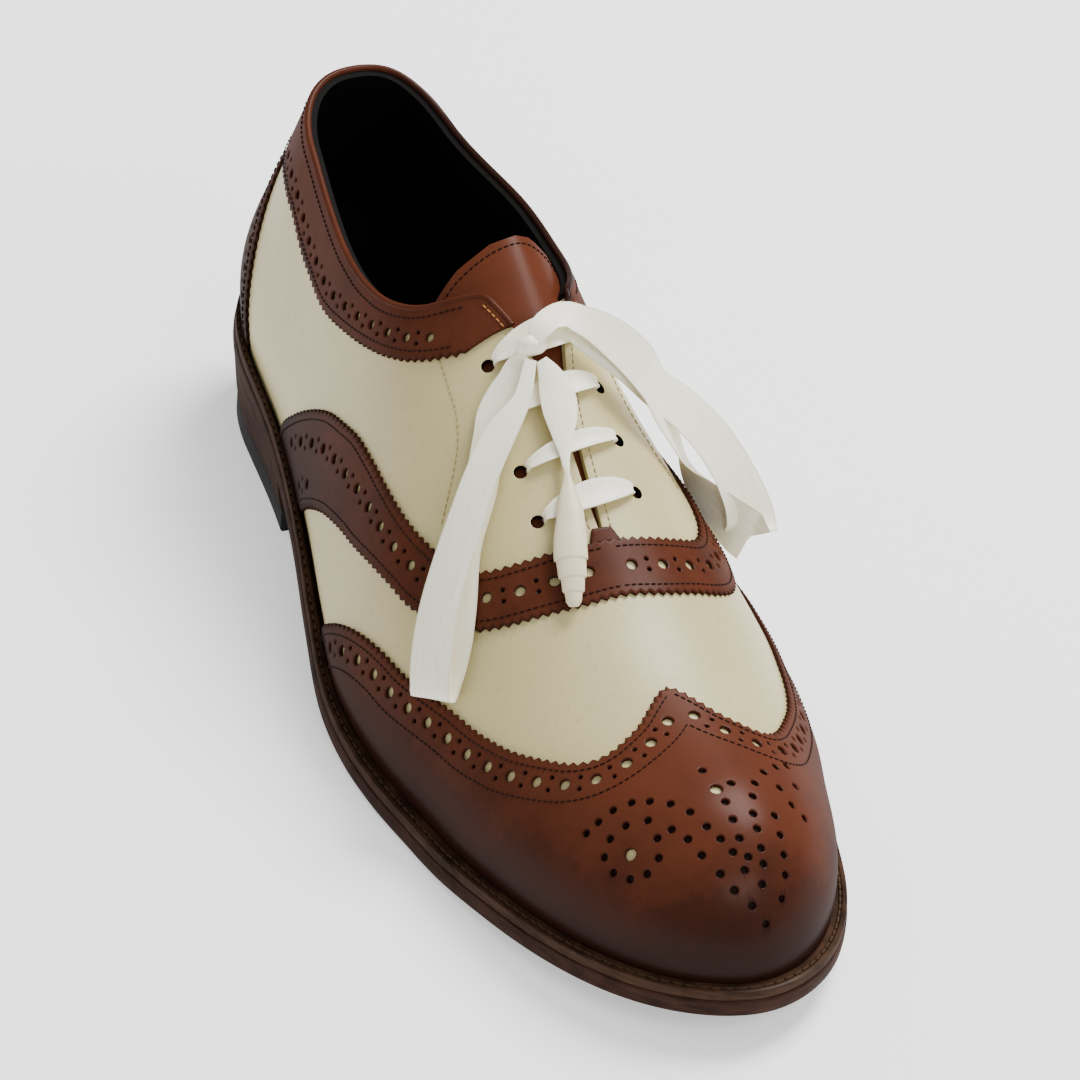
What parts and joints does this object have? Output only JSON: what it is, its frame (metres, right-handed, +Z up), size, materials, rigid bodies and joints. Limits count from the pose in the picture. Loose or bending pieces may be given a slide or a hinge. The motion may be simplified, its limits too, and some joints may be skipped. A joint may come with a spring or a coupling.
{
  "type": "dress shoe",
  "caption": "two-tone full-brogue closed-lacing dress shoe with wing toe, waved vamp band, welted leather sole, stacked heel and ribbon laces tied in a bow",
  "frame": {"origin": "middle of the footprint box of the shoe without its bow, on the floor", "axes": "+Y from toe to heel, +X towards the medial side, +Z up"},
  "size_m": [0.1126, 0.3072, 0.1044],
  "materials": {
    "cream_leather": "smooth satin",
    "brown_leather": "burnished, polished",
    "lining_leather": "matt",
    "sole_leather": "waxed",
    "top_lift_rubber": "matt",
    "ribbon": "satin"
  },
  "bodies": {
    "root": {"outsole": "sole_leather", "heel_stack": "sole_leather", "heel_top_lift": "top_lift_rubber", "welt": "sole_leather", "insole": "lining_leather", "upper": "cream_leather", "wing_cap": "brown_leather", "vamp_band": "brown_leather", "collar_band": "brown_leather", "back_strip": "brown_leather", "tongue": "brown_leather", "lace_bar_1": "ribbon", "lace_bar_2": "ribbon", "lace_bar_3": "ribbon", "lace_bar_4": "ribbon", "lace_knot": "ribbon", "lace_loop_lateral": "ribbon", "lace_loop_medial": "ribbon", "lace_tail_front": "ribbon"}
  },
  "joints": []
}
